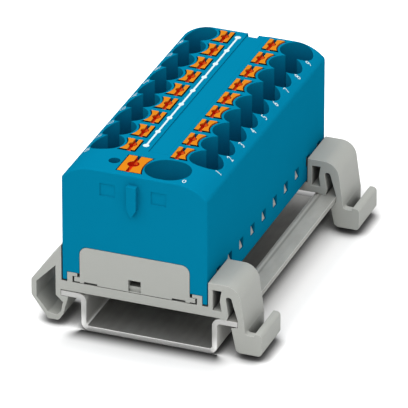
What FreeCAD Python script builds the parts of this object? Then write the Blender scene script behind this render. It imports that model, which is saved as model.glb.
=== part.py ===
import FreeCAD, Part
import math
import os
import Sketcher
from FreeCAD import Vector

# A power distribution block: one large spring clamp feeds two rows of smaller ones through a common
# current bar. The blue housing snaps over a grey base, and two grey feet hold the base on a top-hat rail.
# Millimetres. +Z is up, +Y runs along the rail, and the origin is the middle of the rail's underside.

SIZES = {
    # top-hat rail
    "rail_width": 35.0,
    "rail_depth": 7.5,
    "rail_wall": 1.0,
    "rail_channel": 27.0,
    "rail_bend": 0.6,
    # block as a whole
    "block_length": 63.1,
    "block_width": 28.8,
    "block_shift": 2.85,
    "block_height": 24.0,
    "crown_flat": 8.3,
    "crown_radius": 8.5,
    "corner_radius": 0.3,
    "crown_edge": 1.0,
    "side_wall": 0.9,
    "end_wall": 1.3,
    "fit_gap": 0.1,
    "overrun": 1.0,
    # entries and clamp chambers
    "pitch": 6.0,
    "rows_start": 11.65,
    "row_count": 9,
    "well_radius": 3.2,
    "well_spacing": 9.8,
    "well_depth": 7.25,
    "funnel_depth": 2.0,
    "bore_radius": 2.1,
    "chamber_height": 5.0,
    "chamber_half": 2.3,
    "chamber_reach": 3.0,
    "input_radius": 3.91,
    "input_reach": 4.42,
    "input_bore": 2.8,
    "input_across": 4.95,
    "input_start": 4.68,
    "input_half": 3.1,
    "test_radius": 1.1,
    "test_across": 5.7,
    "test_start": 4.75,
    "test_depth": 8.0,
    # buttons
    "button_half": 2.2,
    "button_reach": 6.2,
    "button_proud": 0.2,
    "button_head": 5.0,
    "button_gap": 0.2,
    "well_wall": 0.5,
    "large_half": 3.16,
    "large_reach": 8.9,
    "large_proud": 0.0,
    "large_radius": 8.4,
    "large_wall": 0.22,
    "stem_half": 1.3,
    "stem_width": 1.7,
    "stem_edge": 0.3,
    "travel": 1.2,
    "notch_width": 0.9,
    "notch_depth": 0.55,
    "slot_width": 0.75,
    "slot_depth": 0.7,
    "dimple_depth": 1.05,
    "dimple_radius": 0.85,
    "large_dimple": 1.15,
    # relief on the housing
    "rib_shift": 0.2,
    "rib_width": 1.95,
    "rib_height": 4.7,
    "rib_tip": 1.7,
    "rib_drop": 1.85,
    "rib_proud": 1.1,
    "rib_slot_gap": 0.1,
    "rib_slot_height": 10.0,
    "panel_size": 3.0,
    "panel_height": 2.5,
    "panel_drop": 2.6,
    "panel_across": 5.05,
    "panel_depth": 0.15,
    "strip_width": 3.8,
    "strip_across": 0.7,
    "strip_depth": 0.2,
    "strip_start": 10.3,
    # snap windows
    "window_width": 2.1,
    "window_height": 2.3,
    "window_rise": 3.05,
    "window_start": 5.8,
    "hook_proud": 0.8,
    # base
    "plate_half": 10.9,
    "plate_height": 7.6,
    "plate_corner": 1.6,
    "tongue_half": 12.0,
    "tongue_rise": 0.2,
    "tongue_thick": 0.9,
    "tray_height": 4.6,
    "tray_floor": 1.0,
    "tray_wall": 1.2,
    "tray_ribs": 5,
    "latch_width": 2.5,
    "latch_height": 2.4,
    "latch_depth": 2.6,
    "latch_ledge": 0.9,
    "latch_recess": 0.65,
    "slit_width": 2.7,
    "slit_height": 0.35,
    "slit_across": 8.75,
    # current bar and springs
    "bar_thick": 0.8,
    "bar_half": 12.7,
    "bar_end": 2.6,
    "tab_half": 2.0,
    "tab_height": 4.4,
    "input_tab": 2.9,
    "spring_wire": 0.4,
    "spring_half": 1.8,
    "spring_rise": 3.5,
    "spring_back": 5.9,
    "spring_tip": 1.4,
    "spring_bend": 0.3,
    # feet
    "foot_length": 10.0,
    "foot_gap": 0.2,
    "crossbar": 1.9,
    "rail_gap": 0.25,
    "seat_gap": 0.15,
    "skirt_gap": 0.45,
    "bracket_wall": 1.0,
    "bracket_reach": 0.95,
    "bracket_thick": 0.7,
    "catch_wall": 1.0,
    "catch_reach": 6.05,
    "catch_height": 7.35,
    "catch_shoulder": 2.5,
    "catch_waist": 0.8,
    "catch_drop": 5.3,
    "catch_toe": 3.3,
    "catch_heel": 0.65,
    "catch_bend": 0.7,
    "catch_flare": 0.9,
    "hollow_drop": 4.4,
    "hollow_neck": 2.5,
    "hook_lip": 1.4,
    "hook_edge": 0.3,
    "hook_gap": 0.1,
    "spring_wall": 0.85,
    "spring_window": 1.45,
    "spring_floor": 0.5,
    "spring_open": 4.3,
    "spring_leg": 1.05,
    "spring_slot": 1.15,
    "spring_sway": 0.35,
    "spring_lean": 0.6,
    "spring_sole": 1.1,
    "spring_round": 0.5,
    "spring_touch": 0.05,
    "spring_slot_drop": 2.35,
    "spring_height": 5.1,
    "spring_crest": 3.1,
    "lever_wall": 1.15,
    "lever_lean": 1.0,
    "lever_foot": 0.3,
    "lever_out": 4.7,
    "lever_lip": 1.5,
    "lever_web": 1.5,
    "lever_dip": 0.5,
    "lever_rise": 0.7,
    "lever_drop": 5.2,
    "lever_pocket": 3.0,
    "lever_crest": 0.75,
    "lever_nose": 1.3,
    "lever_bend": 0.45,
}

doc = FreeCAD.newDocument("PowerDistributionBlock")
sheet = doc.addObject("Spreadsheet::Sheet", "Sizes")
for row, (alias, number) in enumerate(SIZES.items(), start=1):
    sheet.set("A%d" % row, alias.replace("_", " "))
    sheet.set("B%d" % row, str(number))
    sheet.setAlias("B%d" % row, alias)
doc.recompute()


class Dim:
    """A size, or a sum of sizes, kept as a number and as the sheet expression that gives it."""

    def __init__(self, value, text):
        self.value = value
        self.text = text

    def __add__(self, other):
        other = dim(other)
        return Dim(self.value + other.value, "(%s + %s)" % (self.text, other.text))

    def __radd__(self, other):
        return dim(other) + self

    def __sub__(self, other):
        other = dim(other)
        return Dim(self.value - other.value, "(%s - %s)" % (self.text, other.text))

    def __rsub__(self, other):
        return dim(other) - self

    def __mul__(self, other):
        other = dim(other)
        return Dim(self.value * other.value, "(%s * %s)" % (self.text, other.text))

    def __truediv__(self, other):
        other = dim(other)
        return Dim(self.value / other.value, "(%s / %s)" % (self.text, other.text))

    def __neg__(self):
        return dim(0) - self


def dim(number):
    """Gives a plain number the same form as a size from the sheet."""
    if isinstance(number, Dim):
        return number
    return Dim(float(number), "%.4f" % number if number >= 0 else "(0 - %.4f)" % -number)


def size(alias):
    """The size with this name in the sheet."""
    return Dim(float(sheet.get(alias)), "Sizes." + alias)


# Heights that several pieces share, from the rail up.
crossbar_low = size("rail_depth") + size("rail_gap")
crossbar_top = crossbar_low + size("crossbar")
plate_low = crossbar_top + size("seat_gap")
skirt_low = crossbar_top + size("skirt_gap")
tongue_low = plate_low + size("tongue_rise")
tongue_top = tongue_low + size("tongue_thick")
bracket_low = tongue_top + size("fit_gap")
bracket_top = bracket_low + size("bracket_thick")
end_low = bracket_top + size("fit_gap")
tray_low = end_low + size("fit_gap")
tray_top = tray_low + size("tray_height")
plate_top = plate_low + size("plate_height")
cavity_top = plate_top + size("fit_gap")
chamber_top = cavity_top + size("chamber_height")
crown_top = skirt_low + size("block_height")
well_low = crown_top - size("well_depth")
funnel_low = well_low - size("funnel_depth")
bar_top = tray_top + size("bar_thick")
window_low = plate_low + size("window_rise")
over = size("overrun")

half_width = size("block_width") / 2
inner_half = half_width - size("side_wall")
tray_half = inner_half - size("fit_gap")
length = size("block_length")
front = -length / 2


def new_body(label, across=0, along=0, up=0):
    """A body with its own label, placed by the sheet."""
    body = doc.addObject("PartDesign::Body", label)
    body.Label = label
    for axis, place in zip("xyz", (dim(across), front + along, dim(up))):
        body.setExpression("Placement.Base." + axis, place.text)
    return body


def new_sketch(body, plane, name, shift=(0, 0, 0)):
    """A sketch on one of the body's own planes; shift is in the sketch's own directions."""
    sketch = body.newObject("Sketcher::SketchObject", name)
    support = next(f for f in body.Origin.OriginFeatures if f.Role == plane)
    sketch.AttachmentSupport = [(support, "")]
    sketch.MapMode = "FlatFace"
    for axis, offset in zip("xyz", shift):
        sketch.setExpression("AttachmentOffset.Base." + axis, dim(offset).text)
    return sketch


def tie(sketch, geometry, point, across=None, up=None):
    """Ties one point of a sketch to the sheet."""
    for kind, place, axis in (("DistanceX", across, -2), ("DistanceY", up, -1)):
        if place is None:
            continue
        place = dim(place)
        if place.text == "0.0000":
            sketch.addConstraint(Sketcher.Constraint("PointOnObject", geometry, point, axis))
        else:
            index = sketch.addConstraint(
                Sketcher.Constraint(kind, -1, 1, geometry, point, place.value))
            sketch.setExpression("Constraints[%d]" % index, place.text)


def polygon(sketch, corners):
    """A closed outline of straight lines whose corners are all tied to the sheet."""
    corners = [(dim(a), dim(b)) for a, b in corners]
    points = [Vector(a.value, b.value, 0) for a, b in corners]
    count = len(points)
    start = sketch.GeometryCount
    for i in range(count):
        sketch.addGeometry(Part.LineSegment(points[i], points[(i + 1) % count]), False)
    for i in range(count):
        sketch.addConstraint(
            Sketcher.Constraint("Coincident", start + i, 2, start + (i + 1) % count, 1))
        tie(sketch, start + i, 1, *corners[i])


def rectangle(sketch, left, right, low, high):
    polygon(sketch, [(left, low), (right, low), (right, high), (left, high)])


def circle(sketch, across, up, radius):
    across, up, radius = dim(across), dim(up), dim(radius)
    index = sketch.addGeometry(
        Part.Circle(Vector(across.value, up.value, 0), Vector(0, 0, 1), radius.value), False)
    tie(sketch, index, 3, across, up)
    rule = sketch.addConstraint(Sketcher.Constraint("Radius", index, radius.value))
    sketch.setExpression("Constraints[%d]" % rule, radius.text)


def pad(body, sketch, name, amount, backwards=False):
    feature = body.newObject("PartDesign::Pad", name)
    feature.Profile = sketch
    feature.setExpression("Length", dim(amount).text)
    feature.Reversed = backwards
    return feature


def pocket(body, sketch, name, amount, backwards=False, both=False):
    """Cuts the sketch out of the body and makes sure that the cut removes material."""
    before = body.Shape.Volume
    feature = body.newObject("PartDesign::Pocket", name)
    feature.Profile = sketch
    feature.setExpression("Length", dim(amount).text)
    feature.Reversed = backwards
    feature.Midplane = both
    doc.recompute()
    if feature.Shape.Volume > before - 1e-6:
        raise RuntimeError(name + " cuts nothing")
    return feature


def pattern(body, originals, name, plane_axis, step, count):
    """Repeats features along one of the body's own axes."""
    feature = body.newObject("PartDesign::LinearPattern", name)
    feature.Originals = originals
    axis = next(f for f in body.Origin.OriginFeatures if f.Role == plane_axis)
    feature.Direction = (axis, [""])
    feature.setExpression("Length", (dim(step) * (dim(count) - 1)).text)
    feature.setExpression("Occurrences", dim(count).text)
    body.Tip = feature
    doc.recompute()
    return feature


def round_edges(body, name, radius, spots, direction):
    """Fillets the straight edges along a direction that pass through the spots."""
    base = body.Tip
    doc.recompute()
    names = []
    for number, edge in enumerate(base.Shape.Edges, start=1):
        if edge.Curve.TypeId != "Part::GeomLine":
            continue
        if abs(abs(edge.Curve.Direction.dot(direction)) - 1) > 1e-6:
            continue
        middle = edge.CenterOfMass
        for spot in spots:
            gap = middle - Vector(*[dim(s).value for s in spot])
            if (gap - direction * gap.dot(direction)).Length < 1e-4:
                names.append("Edge%d" % number)
                break
    if not names:
        raise RuntimeError(name + " finds no edge")
    feature = body.newObject("PartDesign::Fillet", name)
    feature.Base = (base, names)
    feature.setExpression("Radius", dim(radius).text)
    doc.recompute()
    return feature


ALONG = Vector(0, 1, 0)
UP = Vector(0, 0, 1)

# The rail: a bent steel strip with a top-hat section.
rail = new_body("mounting_rail")
rail_half = size("rail_width") / 2
channel = size("rail_channel") / 2
wall = size("rail_wall")
depth = size("rail_depth")
profile = new_sketch(rail, "XZ_Plane", "RailProfile")
inner = channel - wall
polygon(profile, [
    (-channel, 0), (channel, 0), (channel, depth - wall), (rail_half, depth - wall),
    (rail_half, depth), (inner, depth), (inner, wall), (-inner, wall),
    (-inner, depth), (-rail_half, depth), (-rail_half, depth - wall), (-channel, depth - wall)])
pad(rail, profile, "RailStrip", length, backwards=True)
tight = size("rail_bend")
round_edges(rail, "RailInsideBends", tight,
            [(channel, 0, depth - wall), (-channel, 0, depth - wall),
             (inner, 0, wall), (-inner, 0, wall)], ALONG)
round_edges(rail, "RailOutsideBends", tight + wall,
            [(inner, 0, depth), (-inner, 0, depth), (channel, 0, 0), (-channel, 0, 0)], ALONG)


def make_foot(label, along):
    """A moulded foot: hollow fixed catch, crossbar with two brackets, spring leg and release lever."""
    body = new_body(label, along=along)
    shift = size("block_shift")
    gap = size("foot_gap")
    slot = rail_half + size("fit_gap")
    low = depth - wall - size("hook_gap")
    left = -shift - half_width - gap
    right = half_width + gap - shift
    sole = low - size("catch_drop")
    tip = size("hook_lip") - slot
    out = left - size("catch_reach")
    toe = out + size("catch_toe")
    heel = left - size("catch_heel")
    shoulder = low + size("catch_shoulder")
    waist = low - size("catch_waist")
    skin = size("catch_wall")
    bend = size("catch_bend")
    catch_top = crossbar_top + size("catch_height")
    leg = right + size("spring_wall") + size("spring_window")
    leg_out = leg + size("spring_leg")
    sway = size("spring_sway")
    lean = size("spring_lean")
    touch = depth + size("spring_touch")
    spring_top = crossbar_top + size("spring_height")
    slot_top = spring_top - size("spring_slot_drop")
    slot_out = leg_out + size("spring_slot")
    lever_in = slot + size("lever_wall")
    lever_foot = lever_in + size("lever_foot")
    lever_out = slot + size("lever_out")
    lever_tab = lever_out - size("lever_lip")
    lever_top = low - size("lever_rise")
    lever_saddle = lever_top - size("lever_dip")
    lever_sole = low - size("lever_drop")
    nose = size("lever_nose")
    ear_out = inner_half - size("fit_gap")
    ear_in = ear_out - size("bracket_wall")
    ear_tip = ear_in - size("bracket_reach")
    outline = new_sketch(body, "XZ_Plane", label + "_outline")
    polygon(outline, [
        (left, crossbar_top), (left, catch_top), (out, shoulder), (out, waist), (toe, sole),
        (heel, sole), (heel + size("catch_flare"), sole + nose), (tip, low - size("hook_edge")), (tip, low),
        (-slot, low), (-slot, crossbar_low),
        (leg, crossbar_low), (leg, touch), (leg_out + sway, touch),
        (leg_out + lean, touch + size("spring_sole")), (leg_out, slot_top), (slot_out, slot_top),
        (slot, depth + size("rail_gap")), (slot, low), (slot - nose, low - size("hook_edge")),
        (slot - sway, lever_sole + size("lever_bend")), (slot + sway, lever_sole),
        (lever_out, lever_sole), (lever_out, lever_top), (lever_tab, lever_top),
        (lever_tab, lever_saddle), (lever_foot, lever_saddle),
        (lever_in, depth), (lever_in - size("lever_lean"), spring_top),
        (right, spring_top), (right, crossbar_top),
        (ear_out - shift, crossbar_top), (ear_out - shift, bracket_top),
        (ear_tip - shift, bracket_top), (ear_tip - shift, bracket_low),
        (ear_in - shift, bracket_low), (ear_in - shift, crossbar_top),
        (-ear_in - shift, crossbar_top), (-ear_in - shift, bracket_low),
        (-ear_tip - shift, bracket_low), (-ear_tip - shift, bracket_top),
        (-ear_out - shift, bracket_top), (-ear_out - shift, crossbar_top)])
    pad(body, outline, label + "_block", size("foot_length"), backwards=True)
    round_edges(body, label + "_crest", size("spring_crest"),
                [(lever_in - size("lever_lean"), 0, spring_top)], ALONG)
    round_edges(body, label + "_bends", bend,
                [(out, 0, shoulder), (out, 0, waist), (toe, 0, sole), (heel, 0, sole),
                 (lever_foot, 0, lever_saddle)], ALONG)
    round_edges(body, label + "_hairpin", size("spring_round"),
                [(leg_out, 0, slot_top), (slot_out, 0, slot_top)], ALONG)
    round_edges(body, label + "_lip", size("lever_crest"),
                [(lever_out, 0, lever_top), (lever_out, 0, lever_sole)], ALONG)
    round_edges(body, label + "_tab", size("lever_dip") / 2, [(lever_tab, 0, lever_top)], ALONG)

    # the hollow of the fixed catch, one wall inside its outline
    inside = -slot - skin
    hollow = new_sketch(body, "XZ_Plane", label + "_hollow")
    polygon(hollow, [
        (inside, catch_top - size("hollow_drop")), (inside, low),
        (tip - skin, low - nose), (tip - skin - bend / 2, waist - size("hollow_neck")),
        (heel - bend / 2, sole + skin), (toe, sole + skin + bend / 2),
        (out + skin, waist - bend / 2), (out + skin, shoulder - bend / 2)])
    pocket(body, hollow, label + "_hollow_cut", size("foot_length"))
    # the window inside the spring loop
    window = new_sketch(body, "XZ_Plane", label + "_window")
    sill = crossbar_top - size("spring_floor")
    head = sill + size("spring_open")
    corner = right + size("spring_wall")
    polygon(window, [
        (corner, sill), (leg + sway, sill), (leg, sill + size("spring_open") / 2),
        (leg + sway / 2, head - size("spring_wall")), (leg + sway, head), (corner, head)])
    pocket(body, window, label + "_window_cut", size("foot_length"))
    # the pocket for a screwdriver, between the leg and the tab of the lever, open at its far end
    slit = new_sketch(body, "XY_Plane", label + "_pocket", (0, 0, lever_top - size("lever_pocket")))
    rectangle(slit, lever_foot, lever_tab, size("lever_web"), size("foot_length") + over)
    pocket(body, slit, label + "_pocket_cut", size("lever_pocket") + bend, backwards=True)
    return body


feet = [make_foot("front_rail_foot", 0), make_foot("rear_rail_foot", length - size("foot_length"))]


# The base: a slab with upright end plates, tongues that slide under the brackets, and a snap-in tray.
base = new_body("base", across=-size("block_shift"))
plate_half = size("plate_half")
plate_wall = size("end_wall")
slab = new_sketch(base, "XZ_Plane", "BaseSlab")
tongue = size("tongue_half")
polygon(slab, [
    (-plate_half, plate_low), (plate_half, plate_low), (plate_half, tongue_low), (tongue, tongue_low),
    (tongue, tongue_top), (plate_half, tongue_top), (plate_half, tray_low + size("tray_floor")),
    (-plate_half, tray_low + size("tray_floor")), (-plate_half, tongue_top), (-tongue, tongue_top),
    (-tongue, tongue_low), (-plate_half, tongue_low)])
pad(base, slab, "BaseSlabPad", length, backwards=True)
tray = new_sketch(base, "XY_Plane", "BaseTray", (0, 0, tray_low))
tray_start = plate_wall + size("fit_gap")
rectangle(tray, -tray_half, tray_half, tray_start, length - tray_start)
pad(base, tray, "BaseTrayPad", size("tray_height"))
doc.recompute()
trough = new_sketch(base, "XY_Plane", "BaseTrough", (0, 0, tray_low + size("tray_floor")))
trough_half = tray_half - size("tray_wall")
trough_start = tray_start + size("tray_wall")
rectangle(trough, -trough_half, trough_half, trough_start, length - trough_start)
pocket(base, trough, "BaseTroughCut", size("tray_height"), backwards=True)
rib = new_sketch(base, "XY_Plane", "BaseRib", (0, 0, tray_low + size("tray_floor") / 2))
first_rib = size("rows_start") - size("pitch") / 2
rectangle(rib, -trough_half - size("tray_wall") / 2, trough_half + size("tray_wall") / 2,
          first_rib - size("tray_wall") / 2, first_rib + size("tray_wall") / 2)
rib_pad = pad(base, rib, "BaseRibPad", size("tray_height") - size("tray_floor") / 2)
doc.recompute()
pattern(base, [rib_pad], "BaseRibs", "Y_Axis", size("pitch") * 2, size("tray_ribs"))
for name, place in (("BaseFrontPlate", dim(0)), ("BaseRearPlate", length - plate_wall)):
    plate = new_sketch(base, "XZ_Plane", name, (0, 0, -place))
    rectangle(plate, -plate_half, plate_half, plate_low, plate_top)
    pad(base, plate, name + "Pad", plate_wall, backwards=True)
    round_edges(base, name + "Corners", size("plate_corner"),
                [(plate_half, 0, plate_top), (-plate_half, 0, plate_top)], ALONG)
hook_low = window_low + size("fit_gap")
hook_top = window_low + size("window_height") - size("fit_gap")
hooks = new_sketch(base, "XZ_Plane", "BaseHooks",
                   (0, 0, (size("window_width") / 2 - size("fit_gap")) - size("window_start")))
for side in (-1, 1):
    foot_in = (tray_half - size("tray_wall") / 2) * side
    polygon(hooks, [
        (foot_in, hook_low), ((tray_half + size("hook_proud")) * side, hook_low),
        (tray_half * side, hook_top), (foot_in, hook_top)])
hook_pad = pad(base, hooks, "BaseHookPad", size("window_width") - size("fit_gap") * 2, backwards=True)
doc.recompute()
pattern(base, [hook_pad], "BaseHookRow", "Y_Axis", size("pitch"), size("row_count") + 1)
latch_low = plate_low + size("fit_gap")
latch_sill = latch_low + size("latch_ledge")
for name, low, high, deep in (
        ("BaseLatch", latch_sill, latch_low + size("latch_height"), size("latch_depth")),
        ("BaseLatchLedge", latch_low, latch_sill, size("latch_recess"))):
    latch = new_sketch(base, "XZ_Plane", name)
    rectangle(latch, -size("latch_width") / 2, size("latch_width") / 2, low, high)
    pocket(base, latch, name + "Cut", deep)
slits = new_sketch(base, "XZ_Plane", "BaseSlits")
for side in (-1, 1):
    middle = size("slit_across") * side
    rectangle(slits, middle - size("slit_width") / 2, middle + size("slit_width") / 2,
              plate_low - size("slit_height"), plate_low + size("slit_height"))
pocket(base, slits, "BaseSlitCut", length)


# The housing: a deep cap with rounded shoulders, the entry wells, the button shafts and the clamp chambers.
housing = new_body("housing", across=-size("block_shift"))
crown = new_sketch(housing, "XZ_Plane", "HousingProfile")
flat = size("crown_flat")
radius = size("crown_radius")
overhang = half_width - flat
shoulder = crown_top - radius + (radius.value ** 2 - overhang.value ** 2) ** 0.5
lean_back = math.acos(overhang.value / radius.value)
left_low, right_low = (-half_width.value, skirt_low.value), (half_width.value, skirt_low.value)
left_side, right_side = (-half_width.value, shoulder.value), (half_width.value, shoulder.value)
for start_point, end_point in (
        (left_low, right_low), (right_low, right_side),
        ((flat.value, crown_top.value), (-flat.value, crown_top.value)), (left_side, left_low)):
    crown.addGeometry(Part.LineSegment(Vector(*start_point, 0), Vector(*end_point, 0)), False)
for side, turn in ((1, lean_back), (-1, math.pi / 2)):
    crown.addGeometry(Part.ArcOfCircle(
        Part.Circle(Vector(flat.value * side, crown_top.value - radius.value, 0), Vector(0, 0, 1),
                    radius.value), turn, turn + math.pi / 2 - lean_back), False)
for one, one_end, other, other_end in (
        (0, 2, 1, 1), (1, 2, 4, 1), (4, 2, 2, 1), (2, 2, 5, 1), (5, 2, 3, 1), (3, 2, 0, 1)):
    crown.addConstraint(Sketcher.Constraint("Coincident", one, one_end, other, other_end))
crown.addConstraint(Sketcher.Constraint("Vertical", 1))
crown.addConstraint(Sketcher.Constraint("Vertical", 3))
tie(crown, 0, 1, -half_width, skirt_low)
tie(crown, 0, 2, half_width, skirt_low)
tie(crown, 2, 1, across=flat)
tie(crown, 2, 2, across=-flat)
for arc, middle in ((4, flat), (5, -flat)):
    tie(crown, arc, 3, middle, crown_top - radius)
    rule = crown.addConstraint(Sketcher.Constraint("Radius", arc, radius.value))
    crown.setExpression("Constraints[%d]" % rule, radius.text)
pad(housing, crown, "HousingBlock", length, backwards=True)
round_edges(housing, "HousingCrownEdges", size("crown_edge"),
            [(half_width, 0, shoulder), (-half_width, 0, shoulder)], ALONG)
round_edges(housing, "HousingCorners", size("corner_radius"),
            [(x, y, 0) for x in (half_width, -half_width) for y in (dim(0), length)], UP)

skirt = new_sketch(housing, "XZ_Plane", "HousingSkirt")
rectangle(skirt, -inner_half, inner_half, skirt_low - over, end_low)
pocket(housing, skirt, "HousingSkirtCut", length)
cavity = new_sketch(housing, "XY_Plane", "HousingCavity", (0, 0, skirt_low))
rectangle(cavity, -inner_half, inner_half, size("end_wall"), length - size("end_wall"))
pocket(housing, cavity, "HousingCavityCut", cavity_top - skirt_low, backwards=True)
gate = new_sketch(housing, "XZ_Plane", "HousingGate")
gate_half = plate_half + size("fit_gap")
rectangle(gate, -gate_half, gate_half, skirt_low, cavity_top)
pocket(housing, gate, "HousingGateCut", length)
round_edges(housing, "HousingGateCorners", size("plate_corner") + size("fit_gap"),
            [(gate_half, 0, cavity_top), (-gate_half, 0, cavity_top)], ALONG)
windows = new_sketch(housing, "YZ_Plane", "HousingWindow")
rectangle(windows, size("window_start") - size("window_width") / 2,
          size("window_start") + size("window_width") / 2,
          window_low, window_low + size("window_height"))
window_cut = pocket(housing, windows, "HousingWindowCut", size("block_width") + over * 2, both=True)
pattern(housing, [window_cut], "HousingWindows", "Y_Axis", size("pitch"), size("row_count") + 1)


def cut_well(name, across, along, radius_top, radius_low):
    """A round entry: straight well, funnel and bore down into the clamp chamber."""
    sketch = new_sketch(housing, "XZ_Plane", name, (across, 0, -dim(along)))
    polygon(sketch, [
        (0, chamber_top - size("chamber_height") / 2), (radius_low, chamber_top - size("chamber_height") / 2),
        (radius_low, funnel_low), (radius_top, well_low), (radius_top, crown_top + over), (0, crown_top + over)])
    before = housing.Shape.Volume
    groove = housing.newObject("PartDesign::Groove", name + "Cut")
    groove.Profile = sketch
    groove.ReferenceAxis = (sketch, ["V_Axis"])
    groove.Angle = 360
    doc.recompute()
    if groove.Shape.Volume > before - 1e-6:
        raise RuntimeError(name + " cuts nothing")
    return groove


class ButtonKind:
    """The sizes in which the small buttons and the large one differ."""

    def __init__(self, reach, half, radius, near, top, dimple):
        self.reach = reach
        self.half = half
        self.radius = radius
        self.offset = radius - near
        self.top = top
        self.dimple = dimple


def button_outline(sketch, side, kind, notch, gap):
    """The button's head seen from above: straight inner side, hollow outer side along its well."""
    inner = -(kind.reach + gap)
    y_half = kind.half + gap
    radius = kind.radius - gap
    bow = (radius.value ** 2 - y_half.value ** 2) ** 0.5 - kind.offset.value
    points = [(-bow * side, -y_half.value), (inner.value * side, -y_half.value),
              (inner.value * side, y_half.value), (-bow * side, y_half.value)]
    corners = [(None, -y_half), (inner * side, -y_half), (inner * side, y_half), (None, y_half)]
    if notch:
        middle = (inner + kind.offset - radius) / 2 * side
        half_notch = size("notch_width") / 2 * side
        bottom = y_half - size("notch_depth")
        corners[3:3] = [(middle - half_notch, y_half), (middle, bottom), (middle + half_notch, y_half)]
        points[3:3] = [(a.value, b.value) for a, b in corners[3:6]]
    count = len(points)
    for i in range(count - 1):
        sketch.addGeometry(
            Part.LineSegment(Vector(*points[i], 0), Vector(*points[i + 1], 0)), False)
        if i:
            sketch.addConstraint(Sketcher.Constraint("Coincident", i - 1, 2, i, 1))
        tie(sketch, i, 1, *corners[i])
    tie(sketch, count - 2, 2, *corners[-1])
    turn = math.asin(y_half.value / radius.value)
    middle_turn = math.pi if side > 0 else 0
    arc = sketch.addGeometry(Part.ArcOfCircle(
        Part.Circle(Vector(kind.offset.value * side, 0, 0), Vector(0, 0, 1), radius.value),
        middle_turn - turn, middle_turn + turn), False)
    order = (1, 2) if side > 0 else (2, 1)
    sketch.addConstraint(Sketcher.Constraint("Coincident", arc, order[0], count - 2, 2))
    sketch.addConstraint(Sketcher.Constraint("Coincident", arc, order[1], 0, 1))
    tie(sketch, arc, 3, kind.offset * side, 0)
    rule = sketch.addConstraint(Sketcher.Constraint("Radius", arc, radius.value))
    sketch.setExpression("Constraints[%d]" % rule, radius.text)


def cut_shaft(name, side, across, along, kind):
    """The shaft for one button: a head pocket with room for the travel, then a slot for the stem."""
    gap = size("button_gap")
    head_low = kind.top - size("button_head") - size("travel") - gap
    head = new_sketch(housing, "XY_Plane", name, (across * side, along, head_low))
    button_outline(head, side, kind, False, gap)
    head_cut = pocket(housing, head, name + "Cut", crown_top + over - head_low, backwards=True)
    stem_low = chamber_top - size("chamber_height") / 2
    stem = new_sketch(housing, "XY_Plane", name + "Stem", (across * side, along, stem_low))
    near = kind.reach - size("stem_edge") + gap
    rectangle(stem, -near * side, (size("stem_width") + gap * 2 - near) * side,
              -size("stem_half") - gap, size("stem_half") + gap)
    stem_cut = pocket(housing, stem, name + "StemCut", head_low + over - stem_low, backwards=True)
    return [head_cut, stem_cut]


def cut_chamber(name, low_across, high_across, low_along, high_along):
    sketch = new_sketch(housing, "XY_Plane", name, (0, 0, cavity_top - over))
    rectangle(sketch, low_across, high_across, low_along, high_along)
    return pocket(housing, sketch, name + "Cut", size("chamber_height") + over, backwards=True)


spacing = size("well_spacing")
start = size("rows_start")
well = size("well_radius")
chamber_half = size("chamber_half")
arc_radius = well + size("well_wall") + size("button_gap")
small = ButtonKind(size("button_reach"), size("button_half"), arc_radius, arc_radius,
                   crown_top + size("button_proud"), size("dimple_radius"))
large = ButtonKind(size("large_reach"), size("large_half"), size("large_radius"),
                   size("input_reach") + size("large_wall") + size("button_gap"),
                   crown_top + size("large_proud"), size("large_dimple"))
for side, name in ((-1, "Left"), (1, "Right")):
    cuts = [cut_well(name + "Well", spacing * side, start, well, size("bore_radius"))]
    cuts += cut_shaft(name + "Shaft", side, spacing, start, small)
    edges = [size("chamber_reach") * side, (spacing + size("chamber_reach")) * side]
    if side < 0:
        edges.reverse()
    cuts.append(cut_chamber(name + "Chamber", *edges, start - chamber_half, start + chamber_half))
    pattern(housing, cuts, name + "Row", "Y_Axis", size("pitch"), size("row_count"))
input_across = size("input_across")
input_start = size("input_start")
input_radius = size("input_radius")
cut_well("InputWell", input_across, input_start, input_radius, size("input_bore"))
oval = new_sketch(housing, "XY_Plane", "InputOval", (input_across, input_start, well_low))
ends = size("input_reach") - input_radius
for low_end, high_end in (((-ends.value, -1), (ends.value, -1)), ((ends.value, 1), (-ends.value, 1))):
    oval.addGeometry(Part.LineSegment(
        Vector(low_end[0], low_end[1] * input_radius.value, 0),
        Vector(high_end[0], high_end[1] * input_radius.value, 0)), False)
for side in (1, -1):
    oval.addGeometry(Part.ArcOfCircle(
        Part.Circle(Vector(ends.value * side, 0, 0), Vector(0, 0, 1), input_radius.value),
        -math.pi / 2 * side, math.pi - math.pi / 2 * side), False)
for one, other in ((0, 2), (2, 1), (1, 3), (3, 0)):
    oval.addConstraint(Sketcher.Constraint("Coincident", one, 2, other, 1))
for line, point, place in ((0, 1, -ends), (0, 2, ends), (1, 1, ends), (1, 2, -ends)):
    tie(oval, line, point, across=place)
for arc, middle in ((2, ends), (3, -ends)):
    tie(oval, arc, 3, middle, 0)
    rule = oval.addConstraint(Sketcher.Constraint("Radius", arc, input_radius.value))
    oval.setExpression("Constraints[%d]" % rule, input_radius.text)
pocket(housing, oval, "InputOvalCut", size("well_depth") + over, backwards=True)
cut_shaft("InputShaft", 1, input_across, input_start, large)
cut_chamber("InputChamber", input_across - size("large_reach") - size("button_gap"),
            input_across + size("input_half") + size("bar_thick") - size("fit_gap"),
            input_start - size("input_half"), input_start + size("input_half"))
test = new_sketch(housing, "XY_Plane", "TestHole", (0, 0, crown_top - size("test_depth")))
circle(test, -size("test_across"), size("test_start"), size("test_radius"))
pocket(housing, test, "TestHoleCut", size("test_depth") + over, backwards=True)

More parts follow.
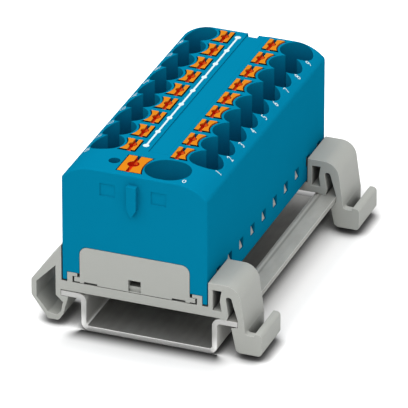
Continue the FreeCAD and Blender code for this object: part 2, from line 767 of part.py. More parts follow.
strip = new_sketch(housing, "XY_Plane", "CrownStrip", (0, 0, crown_top - size("strip_depth")))
rectangle(strip, size("strip_across") - size("strip_width") / 2,
          size("strip_across") + size("strip_width") / 2, size("strip_start"), length)
pocket(housing, strip, "CrownStripCut", size("strip_depth") + over, backwards=True)
rib_mid = -size("rib_shift")
panels = new_sketch(housing, "XZ_Plane", "FrontPanels")
panel_top = crown_top - size("panel_drop")
for side in (-1, 1):
    middle = rib_mid + size("panel_across") * side
    rectangle(panels, middle - size("panel_size") / 2, middle + size("panel_size") / 2,
              panel_top - size("panel_height"), panel_top)
pocket(housing, panels, "FrontPanelCut", size("panel_depth"))
rib_top = crown_top - size("rib_drop")
rib_half = size("rib_width") / 2
key_slot = new_sketch(housing, "XZ_Plane", "RearKeySlot", (0, 0, -length))
slot_half = rib_half + size("rib_slot_gap")
rectangle(key_slot, rib_mid - slot_half, rib_mid + slot_half,
          crown_top - size("rib_slot_height"), crown_top + over)
pocket(housing, key_slot, "RearKeySlotCut", size("rib_proud") + size("rib_slot_gap"), backwards=True)
key = new_sketch(housing, "XZ_Plane", "FrontKey")
polygon(key, [
    (rib_mid - rib_half, rib_top - size("rib_height")), (rib_mid, rib_top - size("rib_height") - size("rib_tip")),
    (rib_mid + rib_half, rib_top - size("rib_height")), (rib_mid + rib_half, rib_top),
    (rib_mid - rib_half, rib_top)])
pad(housing, key, "FrontKeyPad", size("rib_proud"))


def make_button(label, side, across, along, kind):
    """A push button: head that follows its well, screwdriver slot with a dimple, and a stem."""
    body = new_body(label, across=across * side - size("block_shift"), along=along, up=kind.top)
    head = new_sketch(body, "XY_Plane", label + "_head")
    button_outline(head, side, kind, True, dim(0))
    pad(body, head, label + "_head_pad", size("button_head"), backwards=True)
    stem = new_sketch(body, "XY_Plane", label + "_stem", (0, 0, -size("button_head")))
    near = kind.reach - size("stem_edge")
    rectangle(stem, -near * side, (size("stem_width") - near) * side,
              -size("stem_half"), size("stem_half"))
    pad(body, stem, label + "_stem_pad",
        kind.top - size("button_head") - chamber_top - size("button_gap"), backwards=True)
    doc.recompute()
    middle = (kind.offset - kind.reach - kind.radius) / 2 * side
    slot = new_sketch(body, "XY_Plane", label + "_slot")
    rectangle(slot, middle - size("slot_width") / 2, middle + size("slot_width") / 2,
              -kind.half - over, kind.half + over)
    pocket(body, slot, label + "_slot_cut", size("slot_depth"))
    ring = new_sketch(body, "XY_Plane", label + "_dimple")
    circle(ring, middle, 0, kind.dimple)
    pocket(body, ring, label + "_dimple_cut", size("dimple_depth"))
    return body


buttons = [make_button("button_input", 1, input_across, input_start, large)]
for number in range(1, int(sheet.get("row_count")) + 1):
    place = start + size("pitch") * (number - 1)
    for side, name in ((-1, "left"), (1, "right")):
        buttons.append(make_button("button_%s_%d" % (name, number), side, spacing, place, small))


# The current bar: a flat strip with a row of upright contact tabs on each side and one for the input.
bar = new_body("current_bar", across=-size("block_shift"))
bar_half = size("bar_half")
strip_sketch = new_sketch(bar, "XY_Plane", "BarStrip", (0, 0, tray_top))
rectangle(strip_sketch, -bar_half, bar_half, size("bar_end"), length - size("bar_end"))
pad(bar, strip_sketch, "BarStripPad", size("bar_thick"))
tabs = new_sketch(bar, "XY_Plane", "BarTabs", (0, 0, tray_top))
for side in (-1, 1):
    edges = [bar_half * side, (bar_half - size("bar_thick")) * side]
    if side > 0:
        edges.reverse()
    rectangle(tabs, *edges, start - size("tab_half"), start + size("tab_half"))
tab_pad = pad(bar, tabs, "BarTabPad", size("tab_height") + size("bar_thick"))
doc.recompute()
pattern(bar, [tab_pad], "BarTabRows", "Y_Axis", size("pitch"), size("row_count"))
input_tab = new_sketch(bar, "XY_Plane", "BarInputTab", (0, 0, tray_top))
tab_across = input_across + size("input_tab")
rectangle(input_tab, tab_across, tab_across + size("bar_thick"),
          input_start - size("tab_half"), input_start + size("tab_half"))
pad(bar, input_tab, "BarInputTabPad", size("tab_height") + size("bar_thick"))


def make_spring(label, side, across, along, back, tip):
    """A leg spring: it sits on the bar, turns up behind the stem and slopes down to its contact tab."""
    body = new_body(label, across=across * side - size("block_shift"), along=along, up=bar_top)
    wire = size("spring_wire")
    rise = size("spring_rise")
    sketch = new_sketch(body, "XZ_Plane", label + "_bent", (0, 0, -size("spring_half")))
    polygon(sketch, [
        (tip * side, 0), (-back * side, 0), (-back * side, rise), (-(back - wire * 2) * side, rise),
        (tip * side, rise / 2), (tip * side, rise / 2 - wire), (-(back - wire) * side, rise - wire),
        (-(back - wire) * side, wire), (tip * side, wire)])
    pad(body, sketch, label + "_pad", size("spring_half") * 2)
    round_edges(body, label + "_bends", size("spring_bend"),
                [(-back * side, 0, rise), (-back * side, 0, 0)], ALONG)
    return body


springs = [make_spring("spring_input", 1, input_across, input_start,
                       size("large_reach") - size("stem_edge"), size("input_tab") - size("spring_wire"))]
for number in range(1, int(sheet.get("row_count")) + 1):
    place = start + size("pitch") * (number - 1)
    for side, name in ((-1, "left"), (1, "right")):
        springs.append(make_spring("spring_%s_%d" % (name, number), side, spacing, place,
                                   size("spring_back"), size("spring_tip")))

doc.recompute()
nodes = [rail, base, housing, bar] + feet + buttons + springs
for item in doc.Objects:
    if "Invalid" in item.State or "Error" in item.State:
        raise RuntimeError("%s failed: %s" % (item.Label, item.State))
for node in nodes:
    if node.Shape.isNull() or not node.Shape.isValid() or len(node.Shape.Solids) != 1:
        raise RuntimeError(node.Label + " is not one valid solid")
os.makedirs("parts", exist_ok=True)
for node in nodes:
    node.Shape.exportStep(os.path.join("parts", node.Label + ".step"))
    box = node.Shape.optimalBoundingBox(False)
    print("%-18s %9.2f mm3  x %7.2f %7.2f  y %7.2f %7.2f  z %7.2f %7.2f" % (
        node.Label, node.Shape.Volume, box.XMin, box.XMax, box.YMin, box.YMax, box.ZMin, box.ZMax))
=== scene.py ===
import math

import bmesh
import bpy
from mathutils import Matrix, Vector
from mathutils.bvhtree import BVHTree


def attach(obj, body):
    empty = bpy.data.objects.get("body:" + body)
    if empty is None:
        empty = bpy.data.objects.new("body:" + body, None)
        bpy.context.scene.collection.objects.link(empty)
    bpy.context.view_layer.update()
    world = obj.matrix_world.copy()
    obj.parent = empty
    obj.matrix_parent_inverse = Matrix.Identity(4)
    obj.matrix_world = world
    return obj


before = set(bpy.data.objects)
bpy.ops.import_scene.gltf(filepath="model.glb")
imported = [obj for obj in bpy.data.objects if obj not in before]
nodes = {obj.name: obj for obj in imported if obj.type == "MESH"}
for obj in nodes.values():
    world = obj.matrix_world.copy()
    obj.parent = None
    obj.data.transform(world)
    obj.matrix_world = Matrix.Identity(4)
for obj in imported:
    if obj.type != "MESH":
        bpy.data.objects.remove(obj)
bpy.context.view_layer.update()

# The blue housing. One deep moulding in polyamide with a fine satin skin from the
# spark-eroded tool. It snaps down over the grey base and carries every entry and button.

HOUSING_BLUE = (0.0005, 0.134, 0.234, 1)
HOUSING_SHADE = (0.0005, 0.126, 0.222, 1)
HOUSING_EDGE_HIGHLIGHT = (0.001, 0.156, 0.268, 1)
HOUSING_HOLLOW_SHADE = (0.002, 0.033, 0.105, 1)
GRAIN_DEPTH = 0.00002


class Value:
    """A value that changes over a surface, so that shader sums are written as plain sums."""

    def __init__(self, tree, socket=None):
        self.tree = tree
        self.socket = socket

    def node(self, kind, settings=None, inputs=None, output=0):
        """Adds a node: its settings are set first, then the values or links of its sockets."""
        made = self.tree.nodes.new(kind)
        for name, setting in (settings or {}).items():
            setattr(made, name, setting)
        for name, given in (inputs or {}).items():
            if isinstance(given, Value):
                self.tree.links.new(given.socket, made.inputs[name])
            else:
                made.inputs[name].default_value = given
        return Value(self.tree, made.outputs[output])

    def sum(self, operation, *terms):
        return self.node("ShaderNodeMath", {"operation": operation}, dict(enumerate(terms)))

    def __add__(self, other):
        return self.sum("ADD", self, other)

    def __radd__(self, other):
        return self.sum("ADD", other, self)

    def __sub__(self, other):
        return self.sum("SUBTRACT", self, other)

    def __rsub__(self, other):
        return self.sum("SUBTRACT", other, self)

    def __mul__(self, other):
        return self.sum("MULTIPLY", self, other)

    def __rmul__(self, other):
        return self.sum("MULTIPLY", other, self)


def shader_of(material):
    """A finish's shader, and the value that the nodes beside it start from."""
    return material.node_tree.nodes["Principled BSDF"], Value(material.node_tree)


def new_finish(name):
    material = bpy.data.materials.new(name)
    material.use_nodes = True
    return material, *shader_of(material)


def feed(shader, socket, value):
    value.tree.links.new(value.socket, shader.inputs[socket])


def colour_so_far(shader, on):
    return Value(on.tree, shader.inputs["Base Color"].links[0].from_socket)


def ramp(on, value, start, end, low=0, high=1, kind="SMOOTHSTEP"):
    """A level that changes between two places, softly unless it is told to be linear."""
    return on.node("ShaderNodeMapRange", {"interpolation_type": kind},
                   {"Value": value, "From Min": start, "From Max": end, "To Min": low, "To Max": high})


def laid_over(on, amount, first, second, blend="MIX"):
    """A second colour over a first one, by an amount."""
    return on.node("ShaderNodeMix", {"data_type": "RGBA", "blend_type": blend},
                   {"Factor": amount, 6: first, 7: second}, output=2)


def edge_highlight_mask(on, soft):
    """1 along the softened edges of a piece, where a highlight is painted, 0 on its open faces."""
    true = on.node("ShaderNodeNewGeometry", output="True Normal")
    level = on.node("ShaderNodeVectorMath", {"operation": "DOT_PRODUCT"}, {0: soft, 1: true}, output=1)
    return ramp(on, level, 0.98, 0.74, kind="LINEAR")


def moulded_plastic(name, colour, dark, edge_highlight, gloss, roughness, edge, grain):
    """Satin moulded plastic: slight colour drift, fine tool grain and edges rounded by the tool, with a
    painted highlight on them.
    """
    material, shader, on = new_finish(name)
    place = on.node("ShaderNodeTexCoord", output="Object")
    drift = on.node("ShaderNodeTexNoise", inputs={"Vector": place, "Scale": 90, "Detail": 3})
    skin = on.node("ShaderNodeTexNoise", inputs={"Vector": place, "Scale": 5200, "Detail": 2})
    soft = on.node("ShaderNodeBevel", {"samples": 6}, {"Radius": edge})
    # Painted highlight: the softened edges take a lighter colour.
    feed(shader, "Base Color", laid_over(on, edge_highlight_mask(on, soft), laid_over(on, drift, colour, dark), edge_highlight))
    feed(shader, "Roughness", roughness + drift * 0.05 + skin * 0.06)
    feed(shader, "Normal", on.node("ShaderNodeBump", inputs={"Strength": grain, "Distance": GRAIN_DEPTH,
                                                             "Height": skin, "Normal": soft}))
    shader.inputs["Specular IOR Level"].default_value = gloss
    return material


def shade_hollows(material, reach, bare, deep, dark, strength):
    """Paints shade into the colour of narrow hollows, the deeper the less open sky a spot sees."""
    shader, on = shader_of(material)
    open_sky = on.node("ShaderNodeAmbientOcclusion", {"samples": 16}, {"Distance": reach}, output="AO")
    hollow = ramp(on, open_sky, bare, deep)
    feed(shader, "Base Color", laid_over(on, hollow * strength, colour_so_far(shader, on), dark))


def dress(node, material):
    """Puts a finish on one of the fixed pieces."""
    mesh = nodes[node].data
    mesh.materials.clear()
    mesh.materials.append(material)


# The blue carries painted highlights on its edges and painted shade in its wells and other hollows.
housing_blue = moulded_plastic("housing blue polyamide", HOUSING_BLUE, HOUSING_SHADE, HOUSING_EDGE_HIGHLIGHT,
                               gloss=0.0, roughness=0.5, edge=0.0002, grain=0.12)
shade_hollows(housing_blue, reach=0.008, bare=0.74, deep=0.15, dark=HOUSING_HOLLOW_SHADE, strength=0.5)
dress("housing", housing_blue)

# The grey base and the two grey rail feet. The same polyamide in light grey; each foot is one
# moulding whose folded leg springs the release lever against the rail's flange.

SHELL_GREY = (0.282, 0.288, 0.270, 1)
SHELL_SHADE = (0.270, 0.276, 0.258, 1)
SHELL_EDGE_HIGHLIGHT = (0.43, 0.435, 0.41, 1)
SHELL_HOLLOW_SHADE = (0.02, 0.02, 0.02, 1)

# The grey carries painted highlights on its edges and near-black painted shade in its narrow hollows.
shell_grey = moulded_plastic("light grey polyamide", SHELL_GREY, SHELL_SHADE, SHELL_EDGE_HIGHLIGHT,
                             gloss=0.15, roughness=0.5, edge=0.00018, grain=0.12)
shade_hollows(shell_grey, reach=0.003, bare=0.5, deep=0.1, dark=SHELL_HOLLOW_SHADE, strength=0.75)
for grey_piece in ("base", "front_rail_foot", "rear_rail_foot"):
    dress(grey_piece, shell_grey)

# The rail piece. Zinc-plated steel strip, roll-formed to a top hat and sawn off at both ends. The
# rolls leave long faint streaks along it, and a white bloom dulls the skin outside its trough. Painted
# light is laid on it too: highlight and shade lines along the bends, highlights on the edges, lighter
# web sides and sawn ends that lighten towards the floor.

ZINC_TROUGH = (0.40, 0.40, 0.39, 1)
ZINC_BLOOM = (0.292, 0.291, 0.270, 1)
ZINC_STREAKS_AND_PAINTED_LINES = (0.55, 0.55, 0.54, 1)
ZINC_EDGE_HIGHLIGHT = (0.56, 0.56, 0.55, 1)
ZINC_SAWN = (0.36, 0.36, 0.35, 1)
ZINC_SAWN_PAINTED_LIGHT = (0.86, 0.86, 0.84, 1)
ZINC_BEND_HIGHLIGHT = (0.95, 0.95, 0.94, 1)
ZINC_WALL_PAINTED_LIGHT = (0.60, 0.60, 0.57, 1)
TROUGH_EDGE = (0.0122, 0.0134)
INNER_BEND = 0.01238
PAINTED_HIGHLIGHT_LINE = 0.01385
PAINTED_SHADE_LINE = 0.01440
BEND_HEIGHTS = (0.0005, 0.002)
WALL_REACH = 0.016
SAWN_FADE = (0.0045, 0.0004)


def part_of(on, vector, axis):
    return on.node("ShaderNodeSeparateXYZ", inputs={0: vector}, output=axis)


def rolled_zinc():
    """Smooth zinc with rolling streaks, bright in the trough and dull elsewhere, with painted highlights and
    shade on its bends and edges and painted light on its web sides and sawn ends.
    """
    material, shader, on = new_finish("rolled zinc-plated steel")
    place = on.node("ShaderNodeTexCoord", output="Object")
    normal = on.node("ShaderNodeNewGeometry", output="Normal")
    reach = on.sum("ABSOLUTE", part_of(on, place, 0))
    height = part_of(on, place, 2)

    def painted_line(across, core, fade):
        """1 on a thin line along both halves of the rail."""
        return ramp(on, on.sum("ABSOLUTE", reach - across), fade, core, kind="LINEAR")

    def square_to(axis):
        """1 on the faces that look along an axis."""
        return ramp(on, on.sum("ABSOLUTE", part_of(on, normal, axis)), 0.6, 0.9, kind="LINEAR")

    along = on.node("ShaderNodeMapping", inputs={"Vector": place, "Scale": (900, 12, 900)})
    streak = on.node("ShaderNodeTexNoise", inputs={"Vector": along, "Scale": 1, "Detail": 4})
    drawn = on.node("ShaderNodeMapping", inputs={"Vector": place, "Scale": (420, 170, 420)})
    cloud = on.node("ShaderNodeTexNoise", inputs={"Vector": drawn, "Scale": 1, "Detail": 4})
    blot = ramp(on, cloud, 0.38, 0.62, kind="LINEAR")
    bloom = ramp(on, reach, *TROUGH_EDGE)
    # Real rolling streaks and blotches, with a painted shade line and a painted highlight line along the bend
    # from each web into its flange.
    streaks_and_painted_lines = (streak * 0.3 + blot * 0.3 + painted_line(PAINTED_SHADE_LINE, 0.0001, 0.0003) * 0.7
            - painted_line(PAINTED_HIGHLIGHT_LINE, 0.0001, 0.0003) * 0.5)
    # Painted highlight: a bright, less metallic line along the trough's inner bends, low down.
    bend_highlight = (painted_line(INNER_BEND, 0.00006, 0.00016) * on.sum("GREATER_THAN", height, BEND_HEIGHTS[0])
            * on.sum("LESS_THAN", height, BEND_HEIGHTS[1]))
    # Painted light: the side faces of the webs are made lighter.
    wall = square_to(0) * on.sum("LESS_THAN", reach, WALL_REACH) * 0.8
    # Painted light: the sawn ends grow lighter towards the floor.
    sawn = laid_over(on, ramp(on, height, *SAWN_FADE), ZINC_SAWN, ZINC_SAWN_PAINTED_LIGHT)
    skin = laid_over(on, bloom, ZINC_TROUGH, ZINC_BLOOM)
    skin = laid_over(on, streaks_and_painted_lines, skin, ZINC_STREAKS_AND_PAINTED_LINES, blend="MULTIPLY")
    skin = laid_over(on, bend_highlight, skin, ZINC_BEND_HIGHLIGHT)
    skin = laid_over(on, square_to(1), skin, sawn)
    skin = laid_over(on, wall, skin, ZINC_WALL_PAINTED_LIGHT)
    soft = on.node("ShaderNodeBevel", {"samples": 6}, {"Radius": 0.00018})
    # Painted highlight along the softened edges.
    feed(shader, "Base Color", laid_over(on, edge_highlight_mask(on, soft), skin, ZINC_EDGE_HIGHLIGHT))
    feed(shader, "Metallic", (0.82 - bloom * 0.72) * (1 - bend_highlight * 0.7))
    feed(shader, "Roughness", 0.3 + bloom * 0.24 + streak * 0.16 + cloud * 0.08)
    feed(shader, "Normal", on.node("ShaderNodeBump", inputs={"Strength": 0.15, "Distance": GRAIN_DEPTH,
                                                             "Height": streak, "Normal": soft}))
    return material


dress("mounting_rail", rolled_zinc())

# The push buttons. Orange polyamide, one over each clamp, with a slot and a dimple for a
# screwdriver tip. Painted shade turns the slot and the dimple red, deepest on their walls, and the
# sides of each head in its shaft near black; painted highlights lighten the edges.

BUTTON_ORANGE = (0.455, 0.146, 0.003, 1)
BUTTON_SHADE = (0.43, 0.134, 0.003, 1)
BUTTON_EDGE_HIGHLIGHT = (0.60, 0.31, 0.06, 1)
BUTTON_RED_SHADE = (0.50, 0.017, 0.003, 1)
BUTTON_DEEP_SHADE = (0.38, 0.010, 0.002, 1)
BUTTON_SIDE_SHADE = (0.010, 0.008, 0.006, 1)
SHAFT_SHADE = (0.001, 0.010, 0.014, 1)
CROWN_HEIGHT = 0.0341
PITCH = 0.006
BLOCK_MIDDLE = -0.00285
FRONT = -0.03155
FIRST_ROW = FRONT + 0.01165
SMALL_HEAD = {"mirror": BLOCK_MIDDLE, "well": 0.0098, "row": FIRST_ROW, "pitch": PITCH,
              "reach": 0.0062, "half": 0.0022, "offset": 0, "radius": 0.0038}
LARGE_HEAD = {"mirror": BLOCK_MIDDLE - 0.02, "well": 0.02495, "row": FRONT + 0.00468, "pitch": 1,
              "reach": 0.0089, "half": 0.00316, "offset": 0.00366, "radius": 0.0084}
HEAD_SKIN = 0.00004
SMALL_GAP = 0.00018
LARGE_GAP = 0.0002
ROWS_FRONT = FIRST_ROW - 0.0026


def from_well(on, place, head):
    """How far a spot lies from its well's middle, from its row, and, squared, from its well's arc."""
    away = head["well"] - on.sum("ABSOLUTE", part_of(on, place, 0) - head["mirror"])
    beside = on.sum("PINGPONG", part_of(on, place, 1) - head["row"], head["pitch"] / 2)
    return away, beside, (away + head["offset"]) * (away + head["offset"]) + beside * beside


def side_in_shaft(on, place, head):
    """1 on the outer side of a button's head: its straight inner end, its two flanks and its hollow."""
    away, beside, arc = from_well(on, place, head)
    return (on.sum("GREATER_THAN", away, head["reach"] - HEAD_SKIN)
            + on.sum("GREATER_THAN", beside, head["half"] - HEAD_SKIN)
            + on.sum("LESS_THAN", arc, (head["radius"] + HEAD_SKIN) ** 2))


def shaft_mouth(on, place, head, gap):
    """1 on the housing's skin over a button's shaft and its narrow gap, where no light comes back."""
    away, beside, arc = from_well(on, place, head)
    return (on.sum("LESS_THAN", away, head["reach"] + gap) * on.sum("LESS_THAN", beside, head["half"] + gap)
            * on.sum("GREATER_THAN", arc, (head["radius"] - gap) ** 2) * on.sum("GREATER_THAN", away, 0))


def tinted_plastic(name, head):
    """The orange of the buttons, with painted shade: red in the slot and the dimple, deepest on their walls,
    and near black on the sides in the shaft.
    """
    material = moulded_plastic(name, BUTTON_ORANGE, BUTTON_SHADE, BUTTON_EDGE_HIGHLIGHT,
                               gloss=0.05, roughness=0.45, edge=0.00016, grain=0.10)
    shader, on = shader_of(material)
    place = on.node("ShaderNodeTexCoord", output="Object")
    normal = on.node("ShaderNodeNewGeometry", output="Normal")
    height = part_of(on, place, 2)
    wall = ramp(on, on.sum("ABSOLUTE", part_of(on, normal, 2)), 0.8, 0.3, kind="LINEAR")

    def below_crown(start, end):
        return ramp(on, height, CROWN_HEIGHT - start, CROWN_HEIGHT - end)

    # Painted shade: the recess floors redden with depth below the crown, the recess walls go deep red and the
    # head's sides in the shaft near black.
    floors = below_crown(0.00005, 0.0005) * 0.7 + below_crown(0.0006, 0.0010) * 0.25
    red = laid_over(on, floors, colour_so_far(shader, on), BUTTON_RED_SHADE)
    recess = laid_over(on, below_crown(-0.0002, 0.0003) * wall, red, BUTTON_DEEP_SHADE)
    feed(shader, "Base Color", laid_over(on, wall * side_in_shaft(on, place, head), recess, BUTTON_SIDE_SHADE))
    return material


def paint_shade_round_shafts(material):
    """Paints shade on the housing's skin along the gap round each button."""
    shader, on = shader_of(material)
    place = on.node("ShaderNodeTexCoord", output="Object")
    in_rows = on.sum("GREATER_THAN", part_of(on, place, 1), ROWS_FRONT)
    mouth = (in_rows * shaft_mouth(on, place, SMALL_HEAD, SMALL_GAP)
             + shaft_mouth(on, place, LARGE_HEAD, LARGE_GAP))
    # Painted shade: a dark band over each shaft's mouth.
    feed(shader, "Base Color", laid_over(on, mouth * 0.85, colour_so_far(shader, on), SHAFT_SHADE))


small_orange = tinted_plastic("orange polyamide, output buttons", SMALL_HEAD)
large_orange = tinted_plastic("orange polyamide, input button", LARGE_HEAD)
for button in nodes:
    if button.startswith("button_"):
        dress(button, large_orange if button == "button_input" else small_orange)
paint_shade_round_shafts(housing_blue)

# The current bar and the clamping springs. Tinned copper strip and bright spring steel, deep
# inside the housing under the wells.

TINNED_COPPER = (0.72, 0.70, 0.66, 1)
SPRING_STEEL = (0.56, 0.56, 0.55, 1)


def bright_strip(name, colour, roughness):
    material, shader, on = new_finish(name)
    place = on.node("ShaderNodeTexCoord", output="Object")
    cloud = on.node("ShaderNodeTexNoise", inputs={"Vector": place, "Scale": 700, "Detail": 3})
    feed(shader, "Roughness", roughness + cloud * 0.15)
    shader.inputs["Base Color"].default_value = colour
    shader.inputs["Metallic"].default_value = 1
    return material


dress("current_bar", bright_strip("tinned copper strip", TINNED_COPPER, 0.25))
spring_steel = bright_strip("bright spring steel", SPRING_STEEL, 0.2)
for spring in nodes:
    if spring.startswith("spring_"):
        dress(spring, spring_steel)

# The print on the crown. White ink: a line that joins the outputs, with a mark at each clamp,
# and a plain number beside each entry.

INK_WHITE = (0.46, 0.54, 0.55, 1)
INK_THIN = (0.42, 0.50, 0.52, 1)
INK_COAT = 0.00002
PRINT_STEP = 0.0003
PRINT_SPLITS = 4
OVER_CROWN = 0.05
ROWS = 9
LINE_ACROSS = BLOCK_MIDDLE - 0.00242
LINE_START = FRONT + 0.01235
LINE_END = LINE_START + (ROWS - 1) * PITCH
LINE_WIDTH = 0.00039
END_MARK = 0.0006
ROW_MARK = 0.0005
ROW_MARK_STRETCH = 1.25
NUMBER_ACROSS = 0.01305
NUMBER_BACK = 0.0021
NUMBER_HIGH = 0.00165
INPUT_NUMBER = (BLOCK_MIDDLE + 0.00925, FRONT + 0.0016)

housing_mesh = nodes["housing"].data
crown_tree = BVHTree.FromPolygons([vert.co.copy() for vert in housing_mesh.vertices],
                                  [tuple(face.vertices) for face in housing_mesh.polygons])


def lay_on_crown(shape, coats):
    """Drops a flat print on the crown and gives it the thickness of its coats of ink."""
    bmesh.ops.remove_doubles(shape, verts=shape.verts, dist=1e-7)
    bmesh.ops.triangulate(shape, faces=shape.faces)
    for _ in range(PRINT_SPLITS):
        long_edges = [edge for edge in shape.edges if edge.calc_length() > PRINT_STEP]
        bmesh.ops.subdivide_edges(shape, edges=long_edges, cuts=1)
        bmesh.ops.triangulate(shape, faces=shape.faces)
    for vert in shape.verts:
        hit = crown_tree.ray_cast(Vector((vert.co.x, vert.co.y, OVER_CROWN)), Vector((0, 0, -1)))[0]
        vert.co.z = hit.z - INK_COAT
    top = bmesh.ops.extrude_face_region(shape, geom=shape.faces[:])
    top_verts = [made for made in top["geom"] if isinstance(made, bmesh.types.BMVert)]
    bmesh.ops.translate(shape, verts=top_verts, vec=(0, 0, INK_COAT * (1 + coats)))
    bmesh.ops.recalc_face_normals(shape, faces=shape.faces)


def pad_print():
    material, shader, on = new_finish("white pad print")
    place = on.node("ShaderNodeTexCoord", output="Object")
    grain = on.node("ShaderNodeTexNoise", inputs={"Vector": place, "Scale": 3000, "Detail": 2})
    feed(shader, "Base Color", laid_over(on, grain, INK_WHITE, INK_THIN))
    shader.inputs["Roughness"].default_value = 0.55
    return material


white_print = pad_print()


def ink_piece(name, shape):
    """Makes a laid print a piece of its own, which rides on the block."""
    mesh = bpy.data.meshes.new(name)
    shape.to_mesh(mesh)
    shape.free()
    piece = bpy.data.objects.new(name, mesh)
    bpy.context.scene.collection.objects.link(piece)
    mesh.materials.append(white_print)
    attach(piece, "block")


def number(shape, words, across, along, turned):
    """Adds one plain number to the print, flat, turned and centred at its place."""
    curve = bpy.data.curves.new("number", "FONT")
    curve.body = words
    curve.size = NUMBER_HIGH
    curve.align_x = "CENTER"
    curve.align_y = "CENTER"
    curve.resolution_u = 3
    holder = bpy.data.objects.new("number", curve)
    flat = bpy.data.meshes.new_from_object(holder)
    flat.transform(Matrix.Translation((across, along, 0)) @ Matrix.Rotation(math.radians(turned), 4, "Z"))
    shape.from_mesh(flat)
    bpy.data.objects.remove(holder)
    bpy.data.curves.remove(curve)
    bpy.data.meshes.remove(flat)


line = bmesh.new()
bmesh.ops.create_grid(line, x_segments=2, y_segments=60, size=0.5)
bmesh.ops.scale(line, verts=line.verts, vec=(LINE_WIDTH, LINE_END - LINE_START, 1))
bmesh.ops.translate(line, verts=line.verts, vec=(LINE_ACROSS, (LINE_START + LINE_END) / 2, 0))
lay_on_crown(line, 1)
ink_piece("printed_line", line)

marks = bmesh.new()
for row in range(ROWS):
    at_end = row in (0, ROWS - 1)
    mark = bmesh.ops.create_circle(marks, cap_ends=True, segments=20, radius=END_MARK if at_end else ROW_MARK)
    bmesh.ops.scale(marks, verts=mark["verts"], vec=(1, 1 if at_end else ROW_MARK_STRETCH, 1))
    bmesh.ops.translate(marks, verts=mark["verts"], vec=(LINE_ACROSS, LINE_START + row * PITCH, 0))
lay_on_crown(marks, 2)
ink_piece("printed_marks", marks)

digits = bmesh.new()
for row in range(ROWS):
    along_row = FIRST_ROW + row * PITCH - NUMBER_BACK
    number(digits, str(row + 1), BLOCK_MIDDLE + NUMBER_ACROSS, along_row, 90)
    number(digits, str(row + 1 + ROWS), BLOCK_MIDDLE - NUMBER_ACROSS, along_row, -90)
number(digits, "0", *INPUT_NUMBER, 0)
lay_on_crown(digits, 1)
ink_piece("printed_numbers", digits)

# The floor. Pale paper a hair under the rail, with a short soft shadow round the feet and the
# rail, deepest at the rail's ends and on its right side.

RAIL_HALF_WIDTH = 0.0135
RAIL_HALF_LENGTH = 0.03155
FLOOR_DROP = 0.00002
CLOSE_REACH = 0.0033
SHADOW_FADE = (0.0075, 0.013)


def paper_floor():
    material, shader, on = new_finish("white paper floor")
    place = on.node("ShaderNodeTexCoord", output="Object")

    def outside(axis, half):
        """How far a spot on the floor lies outside the rail along one axis."""
        return on.sum("MAXIMUM", on.sum("ABSOLUTE", part_of(on, place, axis)) - half, 0)

    beside_rail = outside(0, RAIL_HALF_WIDTH)
    past_end = outside(1, RAIL_HALF_LENGTH)
    from_rail = on.sum("SQRT", beside_rail * beside_rail + past_end * past_end)
    ahead = on.sum("DIVIDE", past_end, from_rail)
    at_side = ramp(on, part_of(on, place, 0), -RAIL_HALF_WIDTH, RAIL_HALF_WIDTH, 1, 0.76)
    at_end = ramp(on, from_rail, 0.0002, 0.0050, 0.06, 1) * ramp(on, from_rail, 0.002, 0.010, 0.62, 0.705)
    kept = at_side + (at_end - at_side) * ahead * ahead
    shaded = (1 - kept) * ramp(on, from_rail, *SHADOW_FADE, 1, 0)
    open_sky = on.node("ShaderNodeAmbientOcclusion", {"samples": 16}, {"Distance": CLOSE_REACH}, output="AO")
    level = ramp(on, open_sky, 0.42, 0.97, 0.15, 0.85) * (1 - shaded)
    feed(shader, "Base Color", on.node("ShaderNodeCombineColor", inputs={0: level, 1: level, 2: level}))
    shader.inputs["Roughness"].default_value = 0.9
    shader.inputs["Specular IOR Level"].default_value = 0.1
    return material


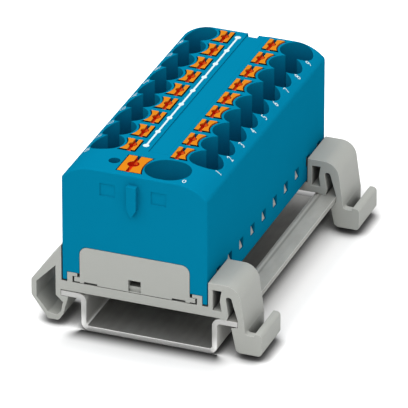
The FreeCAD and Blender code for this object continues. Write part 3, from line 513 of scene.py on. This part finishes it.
floor_shape = bmesh.new()
bmesh.ops.create_grid(floor_shape, x_segments=1, y_segments=1, size=6)
bmesh.ops.translate(floor_shape, verts=floor_shape.verts, vec=(0, 0, -FLOOR_DROP))
floor_mesh = bpy.data.meshes.new("floor")
floor_shape.to_mesh(floor_mesh)
floor_shape.free()
floor_mesh.materials.append(paper_floor())
floor = bpy.data.objects.new("floor", floor_mesh)
bpy.context.scene.collection.objects.link(floor)

# The light. One very large soft light overhead, a little in front of the block, with dim walls
# round it, so that the shadows stay close to the feet and the rail.

WALL_LIGHT = 0.2
CEILING_LIGHT = 3.1
CEILING_WAY = Vector((0.0, -0.25, 0.97))

world = bpy.data.worlds.new("studio")
bpy.context.scene.world = world
world.use_nodes = True
around = Value(world.node_tree)
seen_way = around.node("ShaderNodeTexCoord", output="Generated")
to_ceiling = around.node("ShaderNodeVectorMath", {"operation": "DOT_PRODUCT"},
                         {0: seen_way, 1: CEILING_WAY.normalized()}, output=1)
background = world.node_tree.nodes["Background"]
feed(background, "Strength", WALL_LIGHT + ramp(around, to_ceiling, 0.35, 0.9) * CEILING_LIGHT)
background.inputs["Color"].default_value = (1, 1, 1, 1)
bpy.context.scene.view_settings.view_transform = "Standard"

# The camera. It stands far off, above the block and to the right of its front, where the
# photograph's camera stood, and its lens gives the photograph's frame.

AZIMUTH = math.radians(20.965)
ELEVATION = math.radians(27.876)
PHOTO_WIDTH = 408
FOCAL_PIXELS = 6520.6
SENSOR = 36
AIM_FROM = Vector((0, FRONT, -0.00062))
AIM_RIGHT = 0.010202
AIM_UP = 0.026156
DISTANCE = 1.210399

right = Vector((math.cos(AZIMUTH), math.sin(AZIMUTH), 0))
back = Vector((math.sin(AZIMUTH) * math.cos(ELEVATION), -math.cos(AZIMUTH) * math.cos(ELEVATION),
               math.sin(ELEVATION)))
up = back.cross(right)
camera_data = bpy.data.cameras.new("camera")
camera_data.sensor_width = SENSOR
camera_data.lens = FOCAL_PIXELS * SENSOR / PHOTO_WIDTH
camera_data.clip_end = 10
camera = bpy.data.objects.new("camera", camera_data)
bpy.context.scene.collection.objects.link(camera)
turn = Matrix((right, up, back)).transposed()
stand = AIM_FROM + right * AIM_RIGHT + up * AIM_UP + back * DISTANCE
camera.matrix_world = Matrix.Translation(stand) @ turn.to_4x4()
bpy.context.scene.camera = camera
